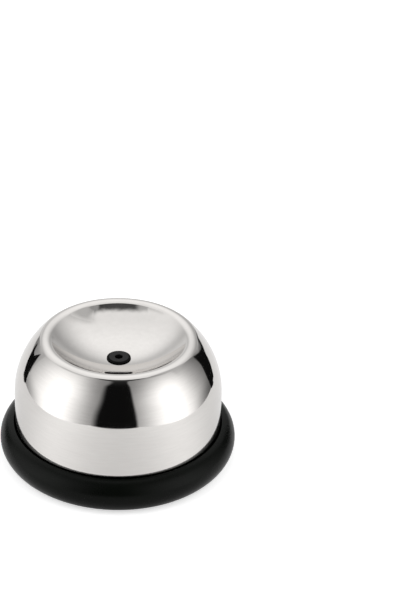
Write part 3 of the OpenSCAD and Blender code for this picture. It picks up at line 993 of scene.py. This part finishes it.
def around_screws(piece, stem, node):
    """Places a piece at the first screw and copies of it at the other two."""
    put(piece, (screw_at, 0, 0), first_screw)
    trio = [piece]
    for letter in "bc":
        bpy.ops.object.duplicate()
        trio.append(bpy.context.object)
        trio[-1].name = trio[-1].data.name = f"{stem}_{letter}"
        put(trio[-1], degrees=next_screw)
    for each in trio:
        fit(each, "dome", zinc_steel, node)


around_screws(screw, "travel_screw", "travel_screws")

# %% Travel washers
washer_low, washer_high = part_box("travel_washers")
washer_r, washer_in = 3.1 * MM, screw_r + clearance
edge = 0.08 * MM
washer_section = soft((washer_in, washer_low.z, edge), (washer_r, washer_low.z, edge),
                      (washer_r, washer_high.z, edge), (washer_in, washer_high.z, edge))
washer = lathe("travel_washer_a", washer_section, steps=64)
bpy.ops.object.shade_smooth_by_angle(angle=crease)
around_screws(washer, "travel_washer", "travel_washers")

# %% [markdown]
# Under the dish, a brass nut draws the bush down on a soft gasket. A hexagon nut is bar stock
# with its corners turned off, and it is made just so: a six-sided prism, cut to what it shares
# with a turned ring that has the bore and both chamfers.

# %% Bush nut
nut_low, nut_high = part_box("bush_nut")
nut_corner, nut_flat = nut_high.x, nut_high.y
nut_mid, nut_t = (nut_low.z + nut_high.z) / 2, nut_high.z - nut_low.z
nut_bore = stem_r + clearance
bore_chamfer, corner_chamfer = 0.25 * MM, 0.40 * MM
nut = add(bpy.ops.mesh.primitive_cylinder_add, "bush_nut_brass", vertices=6, radius=nut_corner,
          depth=nut_t, location=(0, 0, nut_mid), rotation=(0, 0, math.radians(90)))
bpy.ops.object.mode_set(mode="OBJECT")
blank = []
for way in (-1, 1):
    face = nut_mid + way * nut_t / 2
    blank += [(nut_bore, face - way * bore_chamfer), (nut_bore + bore_chamfer, face),
              (nut_flat, face), (nut_corner + bore_chamfer, face - way * corner_chamfer)][::-way]
cut(nut, lathe("nut_blank", blank, steps=96), "INTERSECT")
fit(nut, "dome", metal("nut_brass", (0.72, 0.56, 0.28), 0.24), "bush_nut")

# %% [markdown]
# The base is one black moulding: a tray with a wall, a well for the dial, a guide post with
# upright slots for the cross pin, and three towers with cups that the screw heads slide in. The
# round parts are spun with soft corners, as a mould needs them. The towers are then joined on,
# and cups and slots are cut. The tool of a cup flares at its mouth, which leaves a bevelled edge.

# %% Base tray
tray_r, floor_z = tray_high.x, 2.2 * MM
wall_in, wall_top_z = ring_in, lip_z - clearance
well_r, well_z, well_top, well_out = 9.15 * MM, 4.8 * MM, 6.2 * MM, 10.55 * MM
post_r, post_bore, post_top = 6.0 * MM, 4.3 * MM, tray_high.z
blunt = 0.3 * MM
tray_corners = [
    (well_r, tray_z), (tray_r - tray_bevel, tray_z), (tray_r, tray_z + tray_bevel),
    (tray_r, wall_top_z), (wall_in, wall_top_z), (wall_in, floor_z), (well_out, floor_z),
    (well_out, well_top), (post_r, well_top), (post_r, post_top), (post_bore, post_top),
    (post_bore, well_z), (well_r, well_z)]
tray = lathe("base_tray_moulded", soft(*((r, z, blunt) for r, z in tray_corners)), steps=192)

# %% Towers and cups
tower_r, tower_top, tower_foot = 4.5 * MM, 9.5 * MM, 1.5 * MM
cup_r, cup_top, shank_hole = 3.3 * MM, 7.7 * MM, 1.7 * MM
past = 0.5 * MM                             # how far a tool reaches past what it cuts
flare = blunt + past


def thrice(tool):
    """Puts a tool at all three screws, in one mesh."""
    put(tool, (screw_at, 0, 0), first_screw)
    bpy.ops.object.mode_set(mode="EDIT")
    bpy.ops.mesh.select_all(action="SELECT")
    for _ in range(2):
        bpy.ops.mesh.duplicate()
        turn(next_screw)
    bpy.ops.object.mode_set(mode="OBJECT")
    return tool


tower_section = soft((0, tower_foot, 0), (tower_r, tower_foot, 0),
                     (tower_r, tower_top, blunt), (0, tower_top, 0))
cut(tray, thrice(lathe("towers", tower_section, steps=64, closed=False)), "UNION")
cup_section = [
    (0, tray_z - past), (cup_r + flare, tray_z - past), (cup_r, tray_z + blunt), (cup_r, cup_top),
    (shank_hole, cup_top), (shank_hole, tower_top - blunt), (shank_hole + flare, tower_top + past),
    (0, tower_top + past)]
cut(tray, thrice(lathe("cups", cup_section, steps=64, closed=False)))

# %% Post slots
slot_r, lock_drop = 0.95 * MM, 4.5 * MM
stadium_sides = 32


def stadium(name, radius, length):
    """A flat face with straight sides and round ends along X, open for editing."""
    made = add(bpy.ops.mesh.primitive_circle_add, name, vertices=stadium_sides, radius=radius,
               fill_type="NGON", rotation=(0, 0, math.pi / stadium_sides))
    bpy.ops.object.mode_set(mode="OBJECT")
    for vertex in made.data.vertices:
        vertex.co.x += math.copysign(length / 2 - radius, vertex.co.x)
    bpy.ops.object.mode_set(mode="EDIT")
    bpy.ops.mesh.select_all(action="SELECT")
    return made


post_slot = stadium("post_slot", slot_r, lock_drop + 2 * slot_r)
turn(-90, "Y")
bpy.ops.transform.translate(value=(-post_r - past, 0, pin_z - lock_drop / 2))
bpy.ops.mesh.extrude_region_move(TRANSFORM_OT_translate={"value": (2 * (post_r + past), 0, 0)})
tidy()
bpy.ops.object.mode_set(mode="OBJECT")
cut(tray, post_slot)
base_plastic = plastic("base_plastic", (0.025, 0.026, 0.025), 0.42)
fit(tray, "base", base_plastic, "base_tray")

# %% [markdown]
# The dial turns in the well. It is a disc with a finger bar underneath and a tube on top, whose
# slanting slots carry the cross pin. Disc and tube are one spin. A slot is the path of the pin,
# so its tool is made like the spring: the end of a bar, extruded, lowered and turned.

# %% Lock dial
seal_low, seal_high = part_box("dial_o_ring")
seal_round = (seal_high.z - seal_low.z) / 2
seal_c = Vector((seal_high.x - seal_round, (seal_low.z + seal_high.z) / 2))
dial_r, dial_z, dial_top = seal_c.x, 3.1 * MM, 4.7 * MM
dial_tube, dial_bore, dial_tube_top = 4.2 * MM, 2.95 * MM, 17.75 * MM
groove_round = seal_round + clearance
fine = 0.15 * MM
dial_steps = 192
dial_section = soft((0, dial_z, 0), (dial_r, dial_z, fine), (dial_r, seal_c.y - groove_round, 0)) \
    + arc(seal_c, groove_round, 270, 90, steps=10)[1:-1] \
    + soft((dial_r, seal_c.y + groove_round, 0), (dial_r, dial_top, fine), (dial_tube, dial_top, 0),
           (dial_tube, dial_tube_top, fine), (dial_bore, dial_tube_top, fine),
           (dial_bore, dial_top, fine), (0, dial_top, 0))
dial = lathe("lock_dial_moulded", dial_section, dial_steps, closed=False)

# %% Dial slots
lock_turn = 90                              # degrees
facet = 360 / dial_steps                    # the tool steps from facet to facet of the tube
slope = lock_drop / (dial_bore * math.radians(lock_turn))
slant_r = slot_r * math.sqrt(1 + slope ** 2)  # a slanting slot is this much taller
end_steps = round(math.degrees(math.asin(slot_r / dial_bore)) / facet)
slant_steps = round(lock_turn / facet)
growing = [slot_r + (slant_r - slot_r) * i / end_steps for i in range(end_steps + 1)]
halves = growing + [slant_r] * (slant_steps - 1) + growing[::-1]
drops = [0] * end_steps + [lock_drop / slant_steps] * slant_steps + [0] * end_steps

slot_in, slot_out = dial_bore / 2, dial_tube + past
slot_mid = Vector(((slot_in + slot_out) / 2, 0, pin_z))
slots = add(bpy.ops.mesh.primitive_plane_add, "dial_slots", size=1, rotation=(math.radians(90), 0, 0),
            location=slot_mid)
bpy.ops.transform.resize(value=(slot_out - slot_in, 1, 2 * slot_r), center_override=slot_mid)
turn(end_steps * facet)
for drop, before, after in zip(drops, halves, halves[1:]):
    slot_mid.z -= drop
    bpy.ops.mesh.extrude_region_move(TRANSFORM_OT_translate={"value": (0, 0, -drop)})
    turn(-facet)
    bpy.ops.transform.resize(value=(1, 1, after / before), center_override=slot_mid)
tidy()
bpy.ops.mesh.duplicate()
turn(-180)
bpy.ops.object.mode_set(mode="OBJECT")
cut(dial, slots)

# %% Finger bar
bar_z, bar_top, bar_w, bar_l = 1.1 * MM, 3.9 * MM, 3.0 * MM, 14.2 * MM
bar_round = 0.5 * MM
round_steps = 5
bar = stadium("finger_bar", bar_w / 2, bar_l)
bpy.ops.transform.translate(value=(0, 0, bar_top))
bpy.ops.mesh.flip_normals()
bpy.ops.mesh.extrude_region_move(TRANSFORM_OT_translate={"value": (0, 0, bar_z + bar_round - bar_top)})
for step in range(round_steps):
    here, there = (math.radians(90 * (step + i) / round_steps) for i in (0, 1))
    bpy.ops.mesh.inset(thickness=bar_round * (math.cos(here) - math.cos(there)),
                       depth=bar_round * (math.sin(there) - math.sin(here)))
tidy()
bpy.ops.object.mode_set(mode="OBJECT")
cut(dial, bar, "UNION")
fit(dial, "dial", plastic("dial_plastic", (0.30, 0.30, 0.31), 0.38), "lock_dial")

# %% [markdown]
# A rubber ring in the dial's edge gives it friction, and a black retaining ring, pressed into
# the well, holds it in. Both are plain rounds with soft edges.

# %% Dial seal and retainer
seal_sides = 24
seal_section = arc(seal_c, seal_round, 0, 360 - 360 / seal_sides, steps=seal_sides - 1)
seal = lathe("dial_seal_rubber", seal_section, steps=128)
seal_rubber = rubber("seal_rubber", (0.035, 0.035, 0.035, 1), (0.060, 0.060, 0.058, 1),
                     rough=0.48, gloss=0.3)
fit(seal, "dial", seal_rubber, "dial_o_ring")

keeper_low, keeper_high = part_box("dial_retainer")
keeper_r, keeper_in = keeper_high.x, 7.4 * MM
keeper_section = soft((keeper_in, keeper_low.z, blunt), (keeper_r, keeper_low.z, blunt),
                      (keeper_r, keeper_high.z, blunt), (keeper_in, keeper_high.z, blunt))
keeper = lathe("dial_retainer_ring", keeper_section, steps=128)
bpy.ops.object.shade_smooth_by_angle(angle=crease)
fit(keeper, "base", base_plastic, "dial_retainer")

# %% [markdown]
# The other pieces keep the shape of their solids, which is the shape of the moulded part, and
# only get their finish: the frame in dark plastic, the carriage in off-white bearing plastic,
# and the gasket in black rubber.

# %% Finishes of the solids that stay
def coat(node, material):
    """Gives a solid its finish, in every slot that it has."""
    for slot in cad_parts[node].material_slots:
        slot.material = material
    print(node, "keeps its shape, in", material.name)


coat("inner_frame", plastic("frame_plastic", (0.20, 0.20, 0.21), 0.40))
coat("needle_carriage", plastic("carriage_plastic", (0.82, 0.80, 0.75), 0.34))
coat("dish_gasket", seal_rubber)
